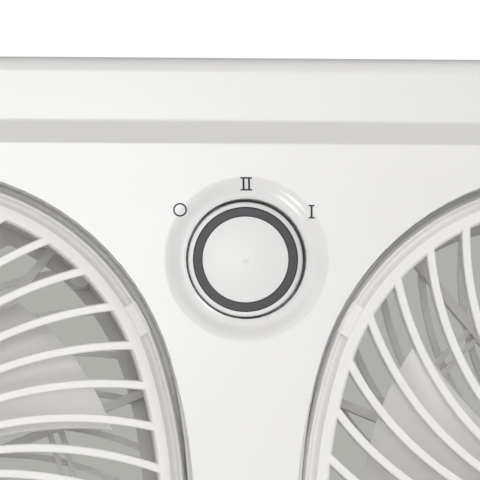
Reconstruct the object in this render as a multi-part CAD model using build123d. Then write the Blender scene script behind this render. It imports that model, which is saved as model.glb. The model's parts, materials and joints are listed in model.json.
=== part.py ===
from build123d import *
import math
import os

# Box fan with two openings side by side and one control knob between them.
# Millimetres. +Z is up, the front faces -Y, and +X is to the right as seen from the front.
# The origin is the middle of the footprint, on the surface that the feet stand on.

# ---- Housing ----
WIDTH = 590.0
HEIGHT = 305.0
DEPTH = 117.0
FOOT_DROP = 2.0
WALL = 2.5
CORNER_R = 36.0
EDGE_R = 5.0
FRONT = -DEPTH / 2
BACK = DEPTH / 2
Z_MID = FOOT_DROP + HEIGHT / 2
Z_TOP = FOOT_DROP + HEIGHT

# The front band stands proud of the panel and slopes down to it.
BAND = 21.2
BAND_SLOPE = 6.8
BAND_STEP = 6.0
BAND_EDGE_R = 1.5
CREASE_R = 0.8
PANEL = FRONT + BAND_STEP

# ---- Fan openings: rounded oblongs made of eight tangent arcs ----
FAN_X = 141.0
SIDES = (-1, 1)
CORNER_AT = (33.0, 29.1)
# Half width, half height and corner radius, at the panel's surface and at the hole behind its lip.
OPENING = (124.4, 120.5, 87.0)
HOLE = (122.9, 119.0, 86.8)
LIP_DEPTH = 4.5
DUCT_IN = 8.0
DUCT_OUT = DUCT_IN - WALL

# ---- Front grille: points of the rim's section, as inset from the opening and depth below the panel ----
RIM_OUT = 1.9
RIM_DEPTH = 18.0
RIM_IN = 11.1
PLATEAU_DEPTH = 10.0
RIM_SECTION = [
    (RIM_OUT, RIM_DEPTH),
    (RIM_OUT, 13.0),
    (2.3, 11.5),
    (2.8, 10.4),
    (3.1, 9.9),
    (3.5, 9.9),
    (3.9, 10.4),
    (4.5, 11.8),
    (4.9, 12.0),
    (5.4, 11.7),
    (6.8, PLATEAU_DEPTH),
    (10.2, PLATEAU_DEPTH),
    (10.8, PLATEAU_DEPTH + 0.6),
    (RIM_IN, PLATEAU_DEPTH + 1.6),
    (RIM_IN, RIM_DEPTH),
]
LUG_ANGLES = (32.4, 147.6, 212.4, 327.6)
LUG_LENGTH = 11.0
LUG_FROM, LUG_TO = 2.6, 8.0
LUG_TOP = PLATEAU_DEPTH + 0.15
LUG_THICK = 5.0
RIB_COUNT = 50
RIB_WIDTH = 2.9
RIB_BACK_WIDTH = 2.1
RIB_DEPTH = 5.5
RIB_LEAN = 0.45
RIB_R = 0.5
RIB_START = 124.0
RIB_END = 28.0
RIB_TRIM = 8.6
# The turn of the first rib at its outer end, and how it grows going in, for the left and right grilles.
RIB_TURNS = ((-0.8, 0.26), (0.3, 0.33))
GRILLE_HUB_R = 30.0
GRILLE_HUB_WALL = 3.0
LEDGE = PANEL + RIM_DEPTH

# ---- Rear grille and motor frame ----
REAR_RIB_COUNT = 40
REAR_RIB_WIDTH = 2.2
REAR_RIB_SWIRL = 0.36
REAR_HUB_R = 32.0
REAR_RING_OUT, REAR_RING_IN = 2.3, 12.5
REAR_RING_FRONT = 51.0
REAR_RING_BACK = BACK - 1.0
FRAME_OUT = 4.3
FRAME_FRONT, FRAME_BACK = 38.0, 50.0
STRUT_ANGLES = (22.0, 50.0, 130.0, 158.0, 202.0, 230.0, 310.0, 338.0)
STRUT_WIDTH = 3.0
STRUT_BACK = 46.0
DOUBLE_RINGS = ((83.0, 85.0), (87.0, 89.0))
DOUBLE_RING_FRONT = 40.0
REAR_LEDGE = 50.5
SCREW_INSET = 8.5
LUG_R = 4.0
GRILLE_SCREW_R = 1.5
GRILLE_SCREW_REACH = 13.0
GRILLE_SCREW_SEAT = REAR_RING_BACK - 2.5
GRILLE_HEAD_R = 3.1
GRILLE_HOLE_R = 1.9
POST_LENGTH = 18.0
# Walls round each opening of the rear shell, as outer inset, inner inset, front and back.
REAR_WALLS = (
    (DUCT_OUT, DUCT_IN, 0, FRAME_FRONT),
    (1.5, DUCT_IN, FRAME_FRONT - WALL, FRAME_FRONT),
    (1.5, 4.0, FRAME_FRONT - WALL, REAR_LEDGE),
    (-0.5, 4.0, REAR_LEDGE - WALL, REAR_LEDGE),
    (-0.5, 2.0, REAR_LEDGE - WALL, BACK),
)

# ---- Motor, about each fan's axis ----
SHAFT_R = 3.0
RUNNING_FIT = 0.03
BELL_R = 32.0
STATOR_R = 30.0
STATOR_BORE = 15.0
STATOR_YOKE_R = 25.0
STATOR_FRONT, STATOR_BACK = 12.0, 28.0
AIR_GAP = 0.3
BELL_FRONT, BELL_BACK = 2.0, 38.4
BEARING_R = 5.0
BEARING_LENGTH = 10.0
BOLT_R = 1.75
BOLT_CIRCLE_R = 27.5
POLE_ANGLES = (0, 90, 180, 270)
BOLT_ANGLES = (45, 135, 225, 315)
SHAFT_FRONT, SHAFT_BACK = -36.5, 43.0

# ---- Impeller ----
BLADE_COUNT = 5
BLADE_THICK = 2.0
BLADE_PHASES = (30.2, 12.2)
BLADE_FRONT, BLADE_BACK = -33.0, -7.0
TIP_FRONT_R, TIP_BACK_R = 102.8, 99.2
HUB_R = 33.0
HUB_FRONT, HUB_BACK = -34.0, -5.0
HUB_NUT_LENGTH = 4.0
BLADE_SWEEP = 0.25
BLADE_BOW = 0.12
BLADE_TAPER = 0.45
BLADE_ROOM = 2.0
BLADE_SECTIONS = ((29.0, 22.0), (66.0, 37.0), (107.0, 56.0))

# ---- Switch and knob ----
KNOB_Z = Z_TOP - 65.9
WELL_R = 19.8
WELL_FLOOR = PANEL + 15.5
BOSS_RISE = 1.8
BOSS_CREST_R = 20.6
BOSS_R = 27.2
KNOB_R = 18.9
KNOB_RING_R = 17.3
KNOB_CAP_R = 14.1
KNOB_FRONT = PANEL + 3.0
KNOB_BACK = WELL_FLOOR - 1.5
INLAY_BACK = KNOB_FRONT + 3.0
DOME_RISE = 0.7
BUSHING_R = 5.0
SWITCH_SIZE = 28.0
SWITCH_BACK = WELL_FLOOR + WALL + 18.0
BLADE_PLACES = ((-9.0, KNOB_Z), (9.0, KNOB_Z), (0.0, KNOB_Z - 9.0))
TERMINAL_LENGTH = 9.0

# ---- Fasteners, feet and the cord's inlet ----
SCREW_XS = (-274.0, -FAN_X, 0.0, FAN_X, 274.0)
SCREW_ZS = (FOOT_DROP + 18.0, Z_TOP - 18.0)
SCREW_R = 1.7
SCREW_SEAT = 6.0
SCREW_TIP = -14.0
SCREW_HEAD_R = 3.8
SCREW_HEAD_HEIGHT = 2.4
CROSS_SIZE = (4.0, 0.85)
FRONT_BOSS_R, REAR_BOSS_R = 4.5, 6.0
DRIVER_WELL_R = 4.2
SCREW_HOLE_R = 2.1
FOOT_XS = (-250.0, 250.0)
FOOT_YS = (-38.0, 38.0)
FOOT_SIZE = (30.0, 18.0, 3.0)
INLET_Z = FOOT_DROP + 44.0
INLET_R = 3.6
INLET_FLOOR = BACK - 4.0
INLET_RECESS_R = 10.5
INLET_NECK_R = 7.0
LEAD_R = 1.6
SUPPLY_R = 2.5
LEAD_GAP = 1.0
LEAD_SLOT = (34.0, 4.4)
LEAD_Y = STRUT_BACK + 2.2
BLOCK_BOX = ((18.0, 44.0, 36.0), (42.0, BACK - WALL, 52.0))


# ---- Shared shapes ----
def at_depth(y):
    """A sketch plane at this depth whose own x and y are the object's X and Z."""
    return Plane(origin=(0, y, 0), x_dir=(1, 0, 0), z_dir=(0, -1, 0))


def slab(sketch, front, back):
    """The sketch as a solid that reaches from one depth to another."""
    return extrude(at_depth(back) * sketch, amount=back - front)


def disc(x, z, radius, front, back):
    return slab(Pos(x, z) * Circle(radius), front, back)


def tube(x, z, outer, inner, front, back):
    return slab(Pos(x, z) * (Circle(outer) - Circle(inner)), front, back)


def polar(radius, degrees):
    angle = math.radians(degrees)
    return radius * math.cos(angle), radius * math.sin(angle)


def bulge_shift(half, corner_r, along, across):
    """How far past the middle the centre of a bulging side's arc lies, so that it meets the corners."""
    reach = half - corner_r
    return (along**2 + across**2 - reach**2) / (2 * (reach - along))


def outline_arcs(half_x, half_z, corner_r):
    """Centre, radius, start and sweep of each tangent arc of an outline, anticlockwise."""
    x, z = CORNER_AT
    shift_x = bulge_shift(half_x, corner_r, x, z)
    shift_z = bulge_shift(half_z, corner_r, z, x)
    turn_x = math.degrees(math.atan2(z, x + shift_x))
    turn_z = math.degrees(math.atan2(x, z + shift_z))
    sweep = 90 - turn_x - turn_z
    arcs = []
    for way, start in ((1, 0), (-1, 180)):
        arcs += [
            ((-way * shift_x, 0), shift_x + half_x, start - turn_x, 2 * turn_x),
            ((way * x, way * z), corner_r, start + turn_x, sweep),
            ((0, -way * shift_z), shift_z + half_z, start + 90 - turn_z, 2 * turn_z),
            ((-way * x, way * z), corner_r, start + 90 + turn_z, sweep),
        ]
    return arcs


def inset_outline(sizes, inset):
    """The outline with these sizes, moved in by the inset."""
    edges = []
    for centre, radius, start, sweep in outline_arcs(*sizes):
        edges.append(CenterArc(centre, radius - inset, start, sweep))
    return make_face(edges)


def opening(inset):
    return inset_outline(OPENING, inset)


def hole(inset):
    return inset_outline(HOLE, inset)


def opening_band(outer_inset, inner_inset, front, back):
    """A wall that follows the opening, between two insets, about the middle of the object."""
    return slab(Pos(0, Z_MID) * (opening(outer_inset) - opening(inner_inset)), front, back)


def housing_outline(inset):
    return Pos(0, Z_MID) * RectangleRounded(WIDTH - 2 * inset, HEIGHT - 2 * inset, CORNER_R - inset)


def at_fan(side, solid):
    """The solid, made about the middle, moved to the left (-1) or right (1) fan."""
    return Pos(side * FAN_X, 0, 0) * solid


def for_each_fan(solid):
    return [at_fan(side, solid) for side in SIDES]


def turned(solid, degrees):
    """The solid, made about the middle, turned anticlockwise as seen from the front."""
    return solid.rotate(Axis((0, 0, Z_MID), (0, -1, 0)), degrees)


def screw_places():
    """Where the rear grille's screws go, about a fan's centre."""
    out_x, out_z = polar(OPENING[2] - SCREW_INSET, 45)
    x, z = CORNER_AT[0] + out_x, CORNER_AT[1] + out_z
    return [(x, z), (-x, z), (-x, -z), (x, -z)]


def swirl_path(start, end, swirl, phase):
    """An arc whose angle grows evenly as it goes in from the start radius to the end radius."""
    points = [polar(r, phase + swirl * (start - r)) for r in (start, (start + end) / 2, end)]
    return ThreePointArc(*points)


def revolved_outline(edges, z):
    """The outline, as radius and depth, turned about the Y axis at this height."""
    plane = Plane(origin=(0, 0, z), x_dir=(1, 0, 0), z_dir=(0, 0, 1))
    return revolve(plane * make_face(edges), Axis((0, 0, z), (0, 1, 0)), 360)


# ---- Housing ----
def lip_cut():
    """Rounds the panel's edge off towards the hole, more at the sides than at the corners."""
    mouth = Pos(0, Z_MID) * opening(0)
    throat = Pos(0, Z_MID) * hole(0)
    return loft([at_depth(PANEL + LIP_DEPTH) * throat, at_depth(PANEL) * mouth], ruled=True)


def knob_boss():
    """The raised ring round the knob and the well that the knob sits in."""
    crest = PANEL - BOSS_RISE
    middle = ((BOSS_CREST_R + BOSS_R) / 2, PANEL - BOSS_RISE / 2)
    behind = PANEL + WALL / 2
    rise = revolved_outline(
        [
            Line((WELL_R, behind), (WELL_R, crest + 0.3)),
            Line((WELL_R, crest + 0.3), (BOSS_CREST_R, crest)),
            TangentArc((BOSS_CREST_R, crest), middle, tangent=(1, 0)),
            TangentArc((BOSS_R, PANEL), middle, tangent=(-1, 0)),
            Line((BOSS_R, PANEL), (BOSS_R, behind)),
            Line((BOSS_R, behind), (WELL_R, behind)),
        ],
        KNOB_Z,
    )
    wall = tube(0, KNOB_Z, WELL_R + WALL, WELL_R, PANEL, WELL_FLOOR + WALL)
    floor = disc(0, KNOB_Z, WELL_R + WALL, WELL_FLOOR, WELL_FLOOR + WALL)
    return rise + wall + floor


def front_skin():
    """The front shell's outside: band, slope and panel, hollow behind."""
    shell = slab(housing_outline(0), FRONT, 0)
    shell = fillet(shell.faces().sort_by(Axis.Y)[0].outer_wire().edges(), EDGE_R)
    reach = BAND_SLOPE / BAND_STEP
    tray = loft(
        [
            at_depth(PANEL) * housing_outline(BAND + BAND_SLOPE),
            at_depth(FRONT - 1) * housing_outline(BAND - reach),
        ],
        ruled=True,
    )
    shell -= tray
    floor = shell.faces().filter_by(lambda f: abs(f.center().Y - PANEL) < 1e-3)
    shell = fillet(floor.sort_by(SortBy.AREA)[-1].outer_wire().edges(), CREASE_R)
    rim = shell.faces().sort_by(Axis.Y)[0]
    shell = fillet(rim.inner_wires()[0].edges(), BAND_EDGE_R)
    shell -= slab(housing_outline(WALL), PANEL + WALL, 0)
    channel = housing_outline(WALL) - housing_outline(BAND - WALL)
    return shell - slab(channel, FRONT + WALL, PANEL + WALL)


def front_collars():
    """The wall, ledge and duct behind each opening of the front shell."""
    wall = slab(Pos(0, Z_MID) * (hole(-WALL) - hole(0)), PANEL + LIP_DEPTH, LEDGE)
    ledge = slab(Pos(0, Z_MID) * (hole(-WALL) - opening(DUCT_IN)), LEDGE, LEDGE + WALL)
    duct = opening_band(DUCT_OUT, DUCT_IN, LEDGE, 0)
    return for_each_fan(wall + ledge + duct)


def make_front_shell():
    shell = front_skin()
    for cut in for_each_fan(slab(Pos(0, Z_MID) * hole(0), FRONT, LEDGE)):
        shell -= cut
    for cut in for_each_fan(lip_cut()):
        shell -= cut
    shell = shell + front_collars() + knob_boss()
    shell -= disc(0, KNOB_Z, WELL_R, FRONT, WELL_FLOOR)
    shell -= disc(0, KNOB_Z, BUSHING_R + 0.1, WELL_FLOOR - 1, WELL_FLOOR + WALL + 1)
    for x in SCREW_XS:
        for z in SCREW_ZS:
            shell += disc(x, z, FRONT_BOSS_R, FRONT + WALL, 0)
            shell -= disc(x, z, SCREW_R, SCREW_TIP - 0.5, 0)
    return shell - foot_pads(-1)


def make_rear_shell():
    shell = slab(housing_outline(0), 0, BACK)
    shell = fillet(shell.faces().sort_by(Axis.Y)[-1].outer_wire().edges(), EDGE_R)
    shell -= slab(housing_outline(WALL), 0, BACK - WALL)
    bands = [opening_band(*wall) for wall in REAR_WALLS]
    posts = [disc(x, Z_MID + z, LUG_R, FRAME_FRONT - POST_LENGTH, FRAME_FRONT) for x, z in screw_places()]
    walls = bands[0] + bands[1:] + posts
    for cut in for_each_fan(slab(Pos(0, Z_MID) * opening(0), BACK - WALL - 1, BACK + 1)):
        shell -= cut
    shell = shell + for_each_fan(walls)
    hole_end = FRAME_FRONT - GRILLE_SCREW_REACH - 1
    for x, z in screw_places():
        for side in SIDES:
            shell -= disc(side * FAN_X + x, Z_MID + z, GRILLE_SCREW_R, hole_end, FRAME_FRONT)
    for x in SCREW_XS:
        for z in SCREW_ZS:
            shell += disc(x, z, REAR_BOSS_R, 0, BACK - 1)
            shell -= disc(x, z, DRIVER_WELL_R, SCREW_SEAT, BACK + 1)
            shell -= disc(x, z, SCREW_HOLE_R, -1, SCREW_SEAT + 1)
    shell += disc(0, INLET_Z, INLET_RECESS_R + WALL, INLET_FLOOR - WALL, BACK - 1)
    shell -= disc(0, INLET_Z, INLET_RECESS_R, INLET_FLOOR, BACK + 1)
    shell -= disc(0, INLET_Z, INLET_NECK_R, INLET_FLOOR - WALL - 1, BACK)
    for mirrored in (False, True):
        shell -= lead_slot(mirrored)
    return shell - foot_pads(1)


def lead_slot(mirrored):
    """The notch through the duct's walls that a motor's lead passes."""
    length, width = LEAD_SLOT
    sketch = Rot(0, 0, STRUT_ANGLES[0]) * Pos(OPENING[0] - DUCT_IN, 0) * Rectangle(length, width)
    slot = slab(Pos(-FAN_X, Z_MID) * sketch, STRUT_BACK, REAR_LEDGE + 0.3)
    return mirror(slot, Plane.YZ) if mirrored else slot


# ---- Grilles ----
def rim_segment(centre, radius, start, sweep):
    """The rim's section turned about one of the arcs of the opening's outline."""
    c, s = polar(1, start)
    plane = Plane(origin=(centre[0], 0, Z_MID + centre[1]), x_dir=(c, 0, s), z_dir=(-s, 0, c))
    points = [(radius - inset, PANEL + depth) for inset, depth in RIM_SECTION]
    face = plane * make_face(Polyline(*points, close=True))
    return revolve(face, Axis(plane.origin, (0, -1, 0)), sweep)


def front_rim():
    """The front grille's rim with the four lugs that bridge its groove."""
    rim = [rim_segment(*arc) for arc in outline_arcs(*OPENING)]
    for angle in LUG_ANGLES:
        bar = Rot(0, 0, angle) * Pos(OPENING[0], 0) * Rectangle(OPENING[0] / 3, LUG_LENGTH)
        lug = (opening(LUG_FROM) - opening(LUG_TO)) & bar
        rim.append(slab(Pos(0, Z_MID) * lug, PANEL + LUG_TOP, PANEL + LUG_TOP + LUG_THICK))
    return rim[0] + rim[1:]


def front_rib(swirl):
    """One swirling rib, wider at its front and leaning a little round the fan's axis."""
    path = swirl_path(RIB_START, RIB_END, swirl, 0)
    face = trace(path, RIB_WIDTH)
    back_face = Rot(0, 0, RIB_LEAN) * trace(path, RIB_BACK_WIDTH)
    front = PANEL + PLATEAU_DEPTH
    rib = loft([at_depth(front + RIB_DEPTH) * back_face, at_depth(front) * face], ruled=True)
    long_edges = rib.faces().sort_by(Axis.Y)[0].edges().filter_by(GeomType.CIRCLE)
    return fillet(long_edges, RIB_R)


def make_front_grille(phase, swirl):
    trim = slab(Pos(0, Z_MID) * opening(RIB_TRIM), FRONT, 0)
    rib = Pos(0, 0, Z_MID) * front_rib(swirl)
    ribs = [turned(rib, phase + 360 * n / RIB_COUNT) & trim for n in range(RIB_COUNT)]
    front = PANEL + PLATEAU_DEPTH
    cap = disc(0, Z_MID, GRILLE_HUB_R, front - 0.6, front + GRILLE_HUB_WALL)
    cap = fillet(cap.faces().sort_by(Axis.Y)[0].edges(), 1.5)
    skirt = tube(0, Z_MID, GRILLE_HUB_R, GRILLE_HUB_R - GRILLE_HUB_WALL, front, front + RIB_DEPTH)
    return front_rim() + [cap + skirt] + ribs


def rear_rib():
    path = swirl_path(RIB_START, RIB_END, REAR_RIB_SWIRL, 0)
    return slab(trace(path, REAR_RIB_WIDTH), REAR_RING_FRONT + 0.5, REAR_RING_BACK - 1)


def make_rear_grille():
    grille = opening_band(REAR_RING_OUT, REAR_RING_IN, REAR_RING_FRONT, REAR_RING_BACK)
    hub = disc(0, Z_MID, REAR_HUB_R, REAR_RING_FRONT + 1, REAR_RING_BACK - 1)
    hub = fillet(hub.faces().sort_by(Axis.Y)[-1].edges(), 1.0)
    trim = slab(Pos(0, Z_MID) * opening(REAR_RING_IN - 2), 0, BACK)
    rib = Pos(0, 0, Z_MID) * rear_rib()
    ribs = [turned(rib, 360 * n / REAR_RIB_COUNT) & trim for n in range(REAR_RIB_COUNT)]
    grille = grille + [hub] + ribs
    for x, z in screw_places():
        grille -= disc(x, Z_MID + z, GRILLE_HOLE_R, 0, BACK)
        grille -= disc(x, Z_MID + z, GRILLE_HEAD_R + 0.3, GRILLE_SCREW_SEAT, BACK)
    return grille


def make_motor_frame():
    frame = opening_band(FRAME_OUT, DUCT_IN, FRAME_FRONT, FRAME_BACK)
    for x, z in screw_places():
        frame += disc(x, Z_MID + z, LUG_R, FRAME_FRONT, FRAME_BACK)
    trim = slab(Pos(0, Z_MID) * opening(FRAME_OUT), FRAME_FRONT, FRAME_BACK)
    inner, outer = BELL_R + 1.2, BELL_R + 4.5
    struts = []
    for angle in STRUT_ANGLES:
        length = OPENING[0] - inner
        bar = Rot(0, 0, angle) * Pos(inner + 1 + length / 2, 0) * Rectangle(length, STRUT_WIDTH)
        struts.append(slab(Pos(0, Z_MID) * bar, FRAME_FRONT, STRUT_BACK))
    for ring_in, ring_out in DOUBLE_RINGS:
        struts.append(tube(0, Z_MID, ring_out, ring_in, DOUBLE_RING_FRONT, STRUT_BACK))
    frame = (frame + struts) & trim
    frame += tube(0, Z_MID, outer, inner, FRAME_FRONT - 4, STRUT_BACK)
    frame += disc(0, Z_MID, outer, BELL_BACK, BELL_BACK + 2.6)
    frame -= disc(0, Z_MID, 9.0, 0, BACK)
    for angle in BOLT_ANGLES:
        x, z = polar(BOLT_CIRCLE_R, angle)
        frame -= disc(x, Z_MID + z, BOLT_R + 0.15, 0, BACK)
    for x, z in screw_places():
        frame -= disc(x, Z_MID + z, GRILLE_HOLE_R, 0, BACK)
    return frame


def frame_for(side):
    """The motor frame at one fan, with its lead's notch and hole."""
    frame = at_fan(side, make_motor_frame())
    x, z = lead_hole(side)
    frame -= disc(x, z, LEAD_R + 1.0, BELL_BACK - 1, BELL_BACK + 4)
    return frame - lead_slot(side > 0)


# ---- Motor ----
def lead_hole(side):
    x, z = polar(BOLT_CIRCLE_R - 1.5, STRUT_ANGLES[0])
    return side * (FAN_X - x), Z_MID + z


def make_bell(plate, open_end):
    """A motor end cup: a plate, a wall round the stator and a seat for the bearing."""
    inward = 1 if open_end > plate else -1
    plate_in = plate + inward * 2.0
    seat_out = plate - inward * 4.0
    seat_in = seat_out + inward * BEARING_LENGTH
    bell = disc(0, Z_MID, BELL_R, *sorted((plate, open_end)))
    outer_face = bell.faces().sort_by(Axis.Y)[0 if inward > 0 else -1]
    bell = fillet(outer_face.edges(), 1.2)
    bell -= disc(0, Z_MID, STATOR_R, *sorted((plate_in, open_end)))
    bell += disc(0, Z_MID, BEARING_R + WALL, *sorted((seat_out, seat_in)))
    bell -= disc(0, Z_MID, BEARING_R, *sorted((seat_out, seat_in)))
    for angle in BOLT_ANGLES:
        x, z = polar(BOLT_CIRCLE_R, angle)
        bell -= disc(x, Z_MID + z, BOLT_R, *sorted((plate, plate_in)))
    return bell


def make_rear_bell():
    bell = make_bell(BELL_BACK, STATOR_BACK - 6.0)
    x, z = polar(BOLT_CIRCLE_R - 1.5, STRUT_ANGLES[0])
    for across in (x, -x):
        bell -= disc(across, Z_MID + z, LEAD_R + 0.2, BELL_BACK - 3, BELL_BACK + 1)
    return bell


def make_stator():
    """The laminated iron: a yoke and four poles whose faces curve round the rotor."""
    core = Circle(STATOR_R) - Circle(STATOR_YOKE_R)
    for angle in POLE_ANGLES:
        shoe = Pos(STATOR_BORE + 1.2, 0) * Rectangle(3.4, 17.0)
        stem = Pos((STATOR_BORE + STATOR_YOKE_R) / 2, 0) * Rectangle(STATOR_YOKE_R - STATOR_BORE + 1, 12.0)
        core += Rot(0, 0, angle) * (shoe + stem)
    core -= Circle(STATOR_BORE)
    for angle in BOLT_ANGLES:
        core -= Pos(*polar(BOLT_CIRCLE_R, angle)) * Circle(BOLT_R)
    return slab(Pos(0, Z_MID) * core, STATOR_FRONT, STATOR_BACK)


def make_windings():
    """Four coils, each a rounded loop round its pole."""
    middle = (STATOR_FRONT + STATOR_BACK) / 2
    loop = RectangleRounded(19.5, 24.0, 4.0) - Rectangle(12.2, 16.2)
    plane = Plane(origin=(18.1, middle, 0), x_dir=(0, 0, 1), z_dir=(1, 0, 0))
    coil = Pos(0, 0, Z_MID) * extrude(plane * loop, amount=4.3)
    return [turned(coil, angle) for angle in POLE_ANGLES]


def make_bearings():
    seats = (BELL_FRONT - 4.0, BELL_BACK - 6.0)
    return [tube(0, Z_MID, BEARING_R, SHAFT_R + RUNNING_FIT, y, y + BEARING_LENGTH) for y in seats]


def make_shaft():
    shaft = disc(0, Z_MID, SHAFT_R, SHAFT_FRONT, SHAFT_BACK)
    return chamfer(shaft.edges().filter_by(GeomType.CIRCLE), 0.4)


def make_rotor():
    return tube(0, Z_MID, STATOR_BORE - AIR_GAP, SHAFT_R, STATOR_FRONT, STATOR_BACK)


def make_bolts():
    """The long bolts that hold both cups, the stator and the frame together."""
    bolts = []
    for angle in BOLT_ANGLES:
        x, z = polar(BOLT_CIRCLE_R, angle)
        shank = disc(x, Z_MID + z, BOLT_R, BELL_FRONT, BELL_BACK + 7.0)
        head = disc(x, Z_MID + z, 3.2, BELL_FRONT - 2.2, BELL_FRONT)
        bolts.append(head + shank)
    return bolts


def make_nuts():
    nuts = []
    front = BELL_BACK + 2.6
    for angle in BOLT_ANGLES:
        x, z = polar(BOLT_CIRCLE_R, angle)
        ring = RegularPolygon(3.3, 6) - Circle(BOLT_R)
        nuts.append(slab(Pos(x, Z_MID + z) * ring, front, front + 2.6))
    return nuts


# ---- Impeller ----
def blade_section(radius, chord):
    """The blade's curved, tapered section on the plane that faces along this radius."""
    half = chord / 2
    rise = (BLADE_BACK - BLADE_FRONT) / 2
    middle = (BLADE_FRONT + BLADE_BACK) / 2
    length = math.hypot(half, rise)
    bow = BLADE_BOW * length
    nx, ny = rise / length, -half / length
    thick = BLADE_THICK / 2
    ends = ((-half, middle - rise), (half, middle + rise))
    front_mid = (nx * (bow + thick), middle + ny * (bow + thick))
    back_mid = (nx * (bow - thick), middle + ny * (bow - thick))
    tip_x, tip_y = nx * thick * BLADE_TAPER, ny * thick * BLADE_TAPER
    front_ends = [(x + tip_x, y + tip_y) for x, y in ends]
    back_ends = [(x - tip_x, y - tip_y) for x, y in ends]
    front_arc = ThreePointArc(front_ends[0], front_mid, front_ends[1])
    back_arc = ThreePointArc(back_ends[1], back_mid, back_ends[0])
    outline = [front_arc, Line(front_ends[1], back_ends[1]), back_arc, Line(back_ends[0], front_ends[0])]
    angle = BLADE_SWEEP * (BLADE_SECTIONS[-1][0] - radius)
    c, s = polar(1, angle)
    plane = Plane(origin=(radius * c, 0, Z_MID + radius * s), x_dir=(-s, 0, c), z_dir=(-c, 0, -s))
    return plane * make_face(outline)


def make_impeller(phase):
    blade = loft([blade_section(radius, chord) for radius, chord in BLADE_SECTIONS])
    front, back = BLADE_FRONT - BLADE_ROOM, BLADE_BACK + BLADE_ROOM
    corners = [(0, front), (TIP_FRONT_R, front), (TIP_BACK_R, back), (0, back)]
    envelope = revolved_outline(Polyline(*corners, close=True), Z_MID)
    blade = blade & envelope
    cup = disc(0, Z_MID, HUB_R, HUB_FRONT, HUB_BACK)
    cup = fillet(cup.faces().sort_by(Axis.Y)[0].edges(), 3.0)
    cup = cup + [turned(blade, phase + 360 * n / BLADE_COUNT) for n in range(BLADE_COUNT)]
    cup -= disc(0, Z_MID, HUB_R - WALL, HUB_FRONT + WALL, 0)
    cup += disc(0, Z_MID, 7.0, HUB_FRONT + 1, HUB_BACK - 3)
    return cup - disc(0, Z_MID, SHAFT_R, FRONT, 0)


def make_impeller_nut():
    nut = disc(0, Z_MID, 8.0, HUB_FRONT - HUB_NUT_LENGTH, HUB_FRONT)
    nut = fillet(nut.faces().sort_by(Axis.Y)[0].edges(), 1.5)
    return nut - disc(0, Z_MID, SHAFT_R, SHAFT_FRONT, HUB_FRONT)


# ---- Switch and knob ----
def make_switch_body():
    front = WELL_FLOOR + WALL
    body = slab(Pos(0, KNOB_Z) * RectangleRounded(SWITCH_SIZE, SWITCH_SIZE, 2.0), front, SWITCH_BACK)
    body += disc(0, KNOB_Z, BUSHING_R, WELL_FLOOR - 5.0, front)
    return body - disc(0, KNOB_Z, SHAFT_R + RUNNING_FIT, WELL_FLOOR - 6.0, front + 8.0)


def make_switch_nut():
    ring = RegularPolygon(7.0, 6) - Circle(BUSHING_R)
    return slab(Pos(0, KNOB_Z) * ring, WELL_FLOOR - 2.5, WELL_FLOOR)


def make_switch_shaft():
    return disc(0, KNOB_Z, SHAFT_R, INLAY_BACK + 1.0, WELL_FLOOR + WALL + 7.0)


def make_terminals():
    return [
        slab(Pos(x, z) * Rectangle(6.0, 0.8), SWITCH_BACK, SWITCH_BACK + TERMINAL_LENGTH)
        for x, z in BLADE_PLACES
    ]


def make_knob():
    """The white knob: a cup with a boss on the switch's shaft and a pocket for its inlays."""
    knob = disc(0, KNOB_Z, KNOB_R, KNOB_FRONT, KNOB_BACK)
    knob = fillet(knob.faces().sort_by(Axis.Y)[0].edges(), 0.5)
    knob -= disc(0, KNOB_Z, KNOB_RING_R, FRONT, INLAY_BACK)
    knob -= tube(0, KNOB_Z, KNOB_R - 1.8, 7.5, INLAY_BACK + 1.8, WELL_FLOOR)
    knob -= disc(0, KNOB_Z, BUSHING_R + 0.4, WELL_FLOOR - 6.0, WELL_FLOOR)
    knob -= disc(0, KNOB_Z, 8.5, WELL_FLOOR - 3.4, WELL_FLOOR)
    return knob - disc(0, KNOB_Z, SHAFT_R, INLAY_BACK + 1.0, WELL_FLOOR)


def make_knob_ring():
    ring = tube(0, KNOB_Z, KNOB_RING_R, KNOB_CAP_R, KNOB_FRONT, INLAY_BACK)
    return fillet(ring.faces().sort_by(Axis.Y)[0].edges(), 0.4)


def make_knob_cap():
    """The slightly domed disc in the middle of the knob."""
    top = (0, KNOB_FRONT - DOME_RISE)
    edge = (KNOB_CAP_R, KNOB_FRONT + 0.1)
    foot = (KNOB_CAP_R, INLAY_BACK)
    centre = (0, INLAY_BACK)
    dome = TangentArc(top, edge, tangent=(1, 0))
    return revolved_outline([dome, Line(edge, foot), Line(foot, centre), Line(centre, top)], KNOB_Z)


# ---- Leads, inlet, feet and fasteners ----
def lead(points, radii, radius):
    """A round lead along straight runs joined by tangent arcs."""
    path = FilletPolyline(*points, radius=radii)
    start = Plane(origin=path @ 0, z_dir=path % 0)
    return sweep(start * Circle(radius), path=path)


def make_motor_lead(side):
    x, z = lead_hole(-1)
    outer_x, outer_z = polar(OPENING[0] + 16.0, STRUT_ANGLES[0])
    start_y = SWITCH_BACK + TERMINAL_LENGTH + LEAD_GAP
    points = [
        (BLADE_PLACES[0][0], start_y, KNOB_Z),
        (BLADE_PLACES[0][0] - 0.4, start_y + 28.0, KNOB_Z - 14.0),
        (outer_x - FAN_X, LEAD_Y, Z_MID + outer_z),
        (x, LEAD_Y, z),
        (x, BELL_BACK - 4.6, z),
    ]
    cable = lead(points, (10.0, 10.0, 5.0), LEAD_R)
    return mirror(cable, Plane.YZ) if side > 0 else cable


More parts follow.
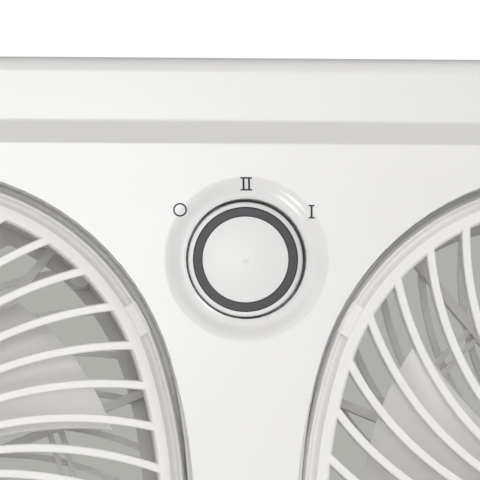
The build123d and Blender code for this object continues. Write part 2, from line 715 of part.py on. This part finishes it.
def make_supply_lead():
    points = [
        (24.0, 50.0, BLOCK_BOX[1][2] + LEAD_GAP),
        (20.0, 50.0, 66.0),
        (4.0, 46.0, 96.0),
        (-1.0, 44.0, 176.0),
        (0.5, 22.0, 208.0),
        (0.0, SWITCH_BACK + TERMINAL_LENGTH + LEAD_GAP, KNOB_Z - 9.0),
    ]
    return lead(points, (9.0, 14.0, 14.0, 14.0), SUPPLY_R)


def make_terminal_block():
    (x0, y0, z0), (x1, y1, z1) = BLOCK_BOX
    block = Pos((x0 + x1) / 2, (y0 + y1) / 2, (z0 + z1) / 2) * Box(x1 - x0, y1 - y0, z1 - z0)
    for x in (x0 + 7.0, x1 - 7.0):
        block -= disc(x, (z0 + z1) / 2, 2.2, y0, y0 + 4.0)
    return block


def make_cord_grommet():
    """The bush in the rear wall that a supply cord would come in through."""
    inner = disc(0, INLET_Z, 8.8, INLET_FLOOR - WALL - 2.0, INLET_FLOOR - WALL)
    neck = disc(0, INLET_Z, INLET_NECK_R, INLET_FLOOR - WALL, INLET_FLOOR)
    outer = disc(0, INLET_Z, 9.4, INLET_FLOOR, INLET_FLOOR + 3.0)
    outer = fillet(outer.faces().sort_by(Axis.Y)[-1].edges(), 1.2)
    return inner + neck + outer - disc(0, INLET_Z, INLET_R, 0, BACK + 1)


def foot_pads(side):
    """The two rubber feet at the front (-1) or the back (1)."""
    length, width, height = FOOT_SIZE
    pad = extrude(RectangleRounded(length, width, 5.0), amount=height)
    y = max(FOOT_YS) * side
    return [Pos(x, y, 0) * pad for x in FOOT_XS]


def make_screw(x, z, shank_r, head_r, tip, seat):
    """A screw that points to the front, with a cross in its head."""
    top = seat + SCREW_HEAD_HEIGHT
    length, width = CROSS_SIZE
    cross = Pos(x, z) * (Rectangle(length, width) + Rectangle(width, length))
    body = disc(x, z, shank_r, tip, seat) + disc(x, z, head_r, seat, top)
    return body - slab(cross, (seat + top) / 2, top)


def make_housing_screws():
    return [
        make_screw(x, z, SCREW_R, SCREW_HEAD_R, SCREW_TIP, SCREW_SEAT)
        for x in SCREW_XS
        for z in SCREW_ZS
    ]


def make_grille_screws():
    tip = FRAME_FRONT - GRILLE_SCREW_REACH
    return [
        make_screw(side * FAN_X + x, Z_MID + z, GRILLE_SCREW_R, GRILLE_HEAD_R, tip, GRILLE_SCREW_SEAT)
        for side in SIDES
        for x, z in screw_places()
    ]


# ---- Every node ----
def both_fans(solids):
    return [at_fan(side, solid) for side in SIDES for solid in solids]


def make_nodes():
    nodes = {
        "front_shell": make_front_shell(),
        "rear_shell": make_rear_shell(),
        "switch_body": make_switch_body(),
        "switch_nut": make_switch_nut(),
        "switch_shaft": make_switch_shaft(),
        "switch_terminals": make_terminals(),
        "knob": make_knob(),
        "knob_ring": make_knob_ring(),
        "knob_cap": make_knob_cap(),
        "supply_lead": make_supply_lead(),
        "terminal_block": make_terminal_block(),
        "cord_grommet": make_cord_grommet(),
        "foot_pads": foot_pads(-1) + foot_pads(1),
        "housing_screws": make_housing_screws(),
        "grille_screws": make_grille_screws(),
        "motor_bolts": both_fans(make_bolts()),
        "motor_nuts": both_fans(make_nuts()),
    }
    rear_grille = make_rear_grille()
    front_bell = make_bell(BELL_FRONT, STATOR_FRONT + 6.0)
    rear_bell = make_rear_bell()
    stator = make_stator()
    windings = make_windings()
    front_bearing, rear_bearing = make_bearings()
    impeller = make_impeller(BLADE_PHASES[0])
    for index, (side, name) in enumerate(zip(SIDES, ("left", "right"))):
        pieces = {
            "front_grille": make_front_grille(*RIB_TURNS[index]),
            "rear_grille": rear_grille,
            "front_bell": front_bell,
            "rear_bell": rear_bell,
            "stator": stator,
            "front_bearing": front_bearing,
            "rear_bearing": rear_bearing,
            "rotor": make_rotor(),
            "shaft": make_shaft(),
            "impeller": turned(impeller, BLADE_PHASES[index] - BLADE_PHASES[0]),
            "impeller_nut": make_impeller_nut(),
        }
        for piece, solid in pieces.items():
            nodes[f"{piece}_{name}"] = at_fan(side, solid)
        nodes[f"windings_{name}"] = [at_fan(side, coil) for coil in windings]
        nodes[f"motor_frame_{name}"] = frame_for(side)
        nodes[f"motor_lead_{name}"] = make_motor_lead(side)
    return nodes


os.makedirs("parts", exist_ok=True)
for node, shape in make_nodes().items():
    if isinstance(shape, list):
        shape = Compound(children=shape)
    export_step(shape, f"parts/{node}.step")
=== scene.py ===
import json
import math

import bmesh
import bpy
from mathutils import Matrix, Vector
from mathutils.bvhtree import BVHTree


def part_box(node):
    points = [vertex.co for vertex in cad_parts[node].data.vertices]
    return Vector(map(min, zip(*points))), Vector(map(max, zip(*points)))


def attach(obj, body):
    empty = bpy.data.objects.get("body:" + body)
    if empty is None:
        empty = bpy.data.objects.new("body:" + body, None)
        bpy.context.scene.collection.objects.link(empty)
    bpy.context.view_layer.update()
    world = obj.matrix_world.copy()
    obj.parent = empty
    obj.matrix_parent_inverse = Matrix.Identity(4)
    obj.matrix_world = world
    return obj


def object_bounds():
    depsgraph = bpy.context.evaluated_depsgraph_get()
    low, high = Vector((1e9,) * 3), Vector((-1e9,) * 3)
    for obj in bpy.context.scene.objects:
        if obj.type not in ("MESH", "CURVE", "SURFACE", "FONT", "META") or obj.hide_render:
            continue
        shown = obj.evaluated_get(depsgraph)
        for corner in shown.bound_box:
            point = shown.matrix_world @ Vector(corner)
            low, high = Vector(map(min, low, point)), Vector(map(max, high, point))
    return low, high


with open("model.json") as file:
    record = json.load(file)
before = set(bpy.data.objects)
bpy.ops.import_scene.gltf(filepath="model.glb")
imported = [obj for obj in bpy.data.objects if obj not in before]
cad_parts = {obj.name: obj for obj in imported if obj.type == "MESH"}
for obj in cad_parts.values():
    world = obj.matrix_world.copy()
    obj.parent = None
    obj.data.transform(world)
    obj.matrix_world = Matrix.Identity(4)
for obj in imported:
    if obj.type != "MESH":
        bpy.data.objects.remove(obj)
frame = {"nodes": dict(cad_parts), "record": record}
cad_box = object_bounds()

# ---- Places read from the frame ----
TOP = cad_box[1].z
KNOB_SINK = 0.003
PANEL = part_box("knob")[0].y - KNOB_SINK

# ---- Camera ----
CAMERA_PLACE = (-0.085, PANEL - 1.45, TOP - 0.141)
CAMERA_AIM = (-0.002, PANEL, TOP - 0.0597)
CAMERA_ROLL = math.radians(0.1)
CAMERA_LENS = 333.0
CAMERA_SENSOR = 36.0
CLIP_END = 60.0

# ---- Moulded plastic and metal ----
GRAIN = 0.00012
GRAIN_SCALE = 1.0 / (GRAIN * 4)
GRAIN_DETAIL = 2.0
PATCH_DETAIL = 3.0
PATCH_LOW, PATCH_HIGH = 0.3, 0.7
GLOSS_SPREAD = 0.04
METAL_PATCHES = 90.0
METAL_BUMP = 0.1

# ---- Marks round the knob ----
MARK_LIFT = 0.00005
MARK_CUTS = 5
DRAPE_FROM = 0.05
MARK_STROKE = 0.0005
STEM_WIDTH = 0.00065
MARK_HEIGHT = 0.0045
OFF_RING_R = 0.00225
RING_STEPS = 96
OFF_PLACE = (-0.0217, TOP - 0.0499)
HIGH_PLACE = (0.0, TOP - 0.0413)
LOW_PLACE = (0.0215, TOP - 0.0503)
HIGH_BARS = (-0.0009, 0.0009)
SERIF_HALF = 0.0010

# ---- Surroundings ----
FLOOR_SIZE = 24.0
HORIZON_GREY = (0.41, 0.415, 0.385, 1.0)
STUDIO_WHITE = (1.0, 1.0, 1.0, 1.0)
CEILING_GREY = (0.17, 0.17, 0.168, 1.0)
# Elevation in degrees and colour of each stop, from straight down to straight up.
SKY_BANDS = (
    (-90.0, HORIZON_GREY),
    (4.5, HORIZON_GREY),
    (5.4, STUDIO_WHITE),
    (14.0, STUDIO_WHITE),
    (30.0, CEILING_GREY),
)
WORLD_STRENGTH = 1.04
RAMP_MIDDLE = 0.5

# ---- Lights: place, aim, size and watts ----
LIGHTS = {
    "ceiling": ((0.25, -1.1, 2.0), (0, -0.4, 0), (2.4, 1.4), 3.0),
    "key": ((1.1, -1.7, 1.5), (0, 0, 0.2), (0.5, 0.4), 9.0),
    "front": ((-0.1, -2.5, 0.4), (0, 0, 0.2), (0.5, 0.4), 7.0),
    "low": ((0.0, -0.6, 0.02), (0, 0, 0.35), (1.8, 0.3), 2.0),
}


def ramp_place(elevation):
    """Where this elevation lies on the sky's ramp, from 0 straight down to 1 straight up."""
    return RAMP_MIDDLE + RAMP_MIDDLE * math.sin(math.radians(elevation))


def world_light():
    """A white studio that turns grey-green near the horizon, as a dim room seen past the fan."""
    world = bpy.data.worlds.new("studio")
    world.use_nodes = True
    bpy.context.scene.world = world
    nodes, links = world.node_tree.nodes, world.node_tree.links
    nodes.clear()
    place = nodes.new("ShaderNodeTexCoord")
    split = nodes.new("ShaderNodeSeparateXYZ")
    ramp = nodes.new("ShaderNodeValToRGB")
    glow = nodes.new("ShaderNodeBackground")
    out = nodes.new("ShaderNodeOutputWorld")
    stretch = nodes.new("ShaderNodeMath")
    stretch.operation = "MULTIPLY_ADD"
    stretch.inputs[1].default_value = RAMP_MIDDLE
    stretch.inputs[2].default_value = RAMP_MIDDLE
    stops = ramp.color_ramp.elements
    for elevation, _ in SKY_BANDS[2:]:
        stops.new(ramp_place(elevation))
    for stop, (elevation, colour) in zip(stops, SKY_BANDS):
        stop.position = ramp_place(elevation)
        stop.color = colour
    glow.inputs["Strength"].default_value = WORLD_STRENGTH
    links.new(place.outputs["Generated"], split.inputs[0])
    links.new(split.outputs["Z"], stretch.inputs[0])
    links.new(stretch.outputs[0], ramp.inputs[0])
    links.new(ramp.outputs[0], glow.inputs["Color"])
    links.new(glow.outputs[0], out.inputs[0])


def area_light(name, place, aim, size, watts):
    """A soft rectangular light that the camera doesn't see."""
    data = bpy.data.lights.new(name, "AREA")
    data.shape = "RECTANGLE"
    data.size, data.size_y = size
    data.energy = watts
    light = bpy.data.objects.new(name, data)
    light.location = place
    light.visible_camera = False
    light.rotation_mode = "QUATERNION"
    light.rotation_quaternion = (Vector(aim) - Vector(place)).to_track_quat("-Z", "Y")
    bpy.context.scene.collection.objects.link(light)


def make_lights():
    for name, settings in LIGHTS.items():
        area_light(name, *settings)


def make_camera():
    data = bpy.data.cameras.new("camera")
    data.lens = CAMERA_LENS
    data.sensor_width = CAMERA_SENSOR
    data.clip_end = CLIP_END
    camera = bpy.data.objects.new("camera", data)
    place, aim = Vector(CAMERA_PLACE), Vector(CAMERA_AIM)
    camera.location = place
    camera.rotation_mode = "QUATERNION"
    turn = (aim - place).to_track_quat("-Z", "Y")
    camera.rotation_quaternion = turn @ Matrix.Rotation(CAMERA_ROLL, 3, "Z").to_quaternion()
    bpy.context.scene.collection.objects.link(camera)
    bpy.context.scene.camera = camera


# ---- Materials ----
def plastic(name, light, dark, roughness, mottle=6.0, bump=0.04):
    """Moulded plastic: faint patches of tone, uneven gloss and a fine surface grain."""
    material = bpy.data.materials.new(name)
    material.use_nodes = True
    nodes, links = material.node_tree.nodes, material.node_tree.links
    shader = nodes["Principled BSDF"]
    place = nodes.new("ShaderNodeTexCoord")
    patches = nodes.new("ShaderNodeTexNoise")
    patches.inputs["Scale"].default_value = mottle
    patches.inputs["Detail"].default_value = PATCH_DETAIL
    tone = nodes.new("ShaderNodeValToRGB")
    tone.color_ramp.elements[0].position = PATCH_LOW
    tone.color_ramp.elements[0].color = (*dark, 1.0)
    tone.color_ramp.elements[1].position = PATCH_HIGH
    tone.color_ramp.elements[1].color = (*light, 1.0)
    gloss = nodes.new("ShaderNodeMapRange")
    gloss.inputs["To Min"].default_value = roughness - GLOSS_SPREAD
    gloss.inputs["To Max"].default_value = roughness + GLOSS_SPREAD
    fine = nodes.new("ShaderNodeTexNoise")
    fine.inputs["Scale"].default_value = GRAIN_SCALE
    fine.inputs["Detail"].default_value = GRAIN_DETAIL
    relief = nodes.new("ShaderNodeBump")
    relief.inputs["Strength"].default_value = bump
    relief.inputs["Distance"].default_value = GRAIN
    for noise in (patches, fine):
        links.new(place.outputs["Object"], noise.inputs["Vector"])
    links.new(patches.outputs["Fac"], tone.inputs[0])
    links.new(patches.outputs["Fac"], gloss.inputs["Value"])
    links.new(tone.outputs[0], shader.inputs["Base Color"])
    links.new(gloss.outputs[0], shader.inputs["Roughness"])
    links.new(fine.outputs["Fac"], relief.inputs["Height"])
    links.new(relief.outputs[0], shader.inputs["Normal"])
    return material


def metal(name, light, dark, roughness):
    """The same surface as the plastic, with finer patches and metallic."""
    material = plastic(name, light, dark, roughness, METAL_PATCHES, METAL_BUMP)
    material.node_tree.nodes["Principled BSDF"].inputs["Metallic"].default_value = 1.0
    return material


def make_materials():
    return {
        "housing_plastic": plastic("housing_plastic", (0.87, 0.86, 0.852), (0.852, 0.842, 0.834), 0.24),
        # Painted light: the grille and the blades are coloured whiter than the housing so that these
        # parts, set deep in the shaded recess and duct, come out as bright as the housing.
        "grille_plastic": plastic("grille_plastic", (0.91, 0.893, 0.878), (0.895, 0.877, 0.862), 0.3),
        "blade_plastic": plastic("blade_plastic", (0.95, 0.935, 0.92), (0.935, 0.915, 0.90), 0.38),
        "knob_plastic": plastic("knob_plastic", (0.87, 0.868, 0.86), (0.85, 0.85, 0.84), 0.32),
        "dark_ring": plastic("dark_ring", (0.028, 0.03, 0.036), (0.022, 0.024, 0.03), 0.35, mottle=40.0),
        "rubber": plastic("rubber", (0.03, 0.03, 0.03), (0.022, 0.022, 0.022), 0.75, bump=0.3),
        "lead_sheath": plastic("lead_sheath", (0.6, 0.6, 0.59), (0.55, 0.55, 0.54), 0.55, mottle=60.0),
        "black_plastic": plastic("black_plastic", (0.022, 0.022, 0.025), (0.016, 0.016, 0.018), 0.5),
        "brass": metal("brass", (0.75, 0.56, 0.26), (0.66, 0.48, 0.2), 0.32),
        "winding": metal("winding", (0.58, 0.24, 0.1), (0.5, 0.19, 0.07), 0.35),
        "bronze": metal("bronze", (0.55, 0.38, 0.2), (0.46, 0.31, 0.16), 0.5),
        "bell_steel": metal("bell_steel", (0.62, 0.63, 0.65), (0.52, 0.53, 0.55), 0.38),
        "lamination": metal("lamination", (0.24, 0.24, 0.26), (0.18, 0.18, 0.2), 0.5),
        "fastener_steel": metal("fastener_steel", (0.6, 0.6, 0.58), (0.5, 0.5, 0.48), 0.35),
    }


def paint_nodes(materials):
    """Gives each CAD node the finished material of its slot."""
    for part in frame["record"]["subparts"]:
        node = frame["nodes"][part["node"]]
        node.data.materials.clear()
        node.data.materials.append(materials[part["material_slot"]])


# ---- Marks ----
def shell_surface():
    """The front shell's faces, to be searched for the surface under a mark."""
    shell = frame["nodes"]["front_shell"]
    points = [shell.matrix_world @ vertex.co for vertex in shell.data.vertices]
    return BVHTree.FromPolygons(points, [tuple(face.vertices) for face in shell.data.polygons])


def mark(name, builders, place, surface, material):
    """A thin printed mark, made of flat closed shapes and laid on the surface from the front."""
    mesh = bpy.data.meshes.new(name)
    shape = bmesh.new()
    for build in builders:
        build(shape)
    bmesh.ops.subdivide_edges(shape, edges=shape.edges[:], cuts=MARK_CUTS, use_grid_fill=True)
    front = Matrix.Translation((place[0], PANEL - DRAPE_FROM, place[1]))
    shape.transform(front @ Matrix.Rotation(math.pi / 2, 4, "X"))
    for vertex in shape.verts:
        hit = surface.ray_cast(vertex.co, Vector((0, 1, 0)))[0]
        vertex.co.y = hit.y - MARK_LIFT
    shape.to_mesh(mesh)
    shape.free()
    mesh.materials.append(material)
    piece = bpy.data.objects.new(name, mesh)
    bpy.context.scene.collection.objects.link(piece)
    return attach(piece, "housing")


def bar(x, y, width, height):
    """A flat rectangle about this middle, as a builder for mark()."""

    def build(shape):
        corners = ((-1, -1), (1, -1), (1, 1), (-1, 1))
        points = [shape.verts.new((x + a * width / 2, y + b * height / 2, 0)) for a, b in corners]
        shape.faces.new(points)

    return build


def ring(radius, width):
    """A flat ring about its own middle, as a builder for mark()."""

    def build(shape):
        turns = [2 * math.pi * n / RING_STEPS for n in range(RING_STEPS)]
        loops = [
            [shape.verts.new((r * math.cos(t), r * math.sin(t), 0)) for t in turns]
            for r in (radius - width, radius)
        ]
        for n in range(RING_STEPS):
            m = (n + 1) % RING_STEPS
            shape.faces.new((loops[0][n], loops[1][n], loops[1][m], loops[0][m]))

    return build


def numeral(offsets):
    """Upright bars with one serif across all of them at the top and one at the bottom."""
    serif_y = (MARK_HEIGHT - MARK_STROKE) / 2
    span = (offsets[-1] - offsets[0]) + 2 * SERIF_HALF
    parts = [bar(x, 0, STEM_WIDTH, MARK_HEIGHT - 2 * MARK_STROKE) for x in offsets]
    return parts + [bar(0, y, span, MARK_STROKE) for y in (-serif_y, serif_y)]


def make_marks(material):
    surface = shell_surface()
    mark("mark_off", [ring(OFF_RING_R, MARK_STROKE)], OFF_PLACE, surface, material)
    mark("mark_high", numeral(HIGH_BARS), HIGH_PLACE, surface, material)
    mark("mark_low", numeral((0.0,)), LOW_PLACE, surface, material)


def make_floor():
    """A plain pale floor under the feet, far wider than the fan."""
    mesh = bpy.data.meshes.new("floor")
    half = FLOOR_SIZE / 2
    corners = [(-half, -half, 0), (half, -half, 0), (half, half, 0), (-half, half, 0)]
    mesh.from_pydata(corners, [], [(0, 1, 2, 3)])
    mesh.materials.append(plastic("floor", (0.80, 0.80, 0.79), (0.78, 0.78, 0.77), 0.6))
    floor = bpy.data.objects.new("floor", mesh)
    bpy.context.scene.collection.objects.link(floor)


materials = make_materials()
paint_nodes(materials)
make_marks(materials["black_plastic"])
make_floor()
world_light()
make_lights()
make_camera()
bpy.context.scene.view_settings.view_transform = "Standard"
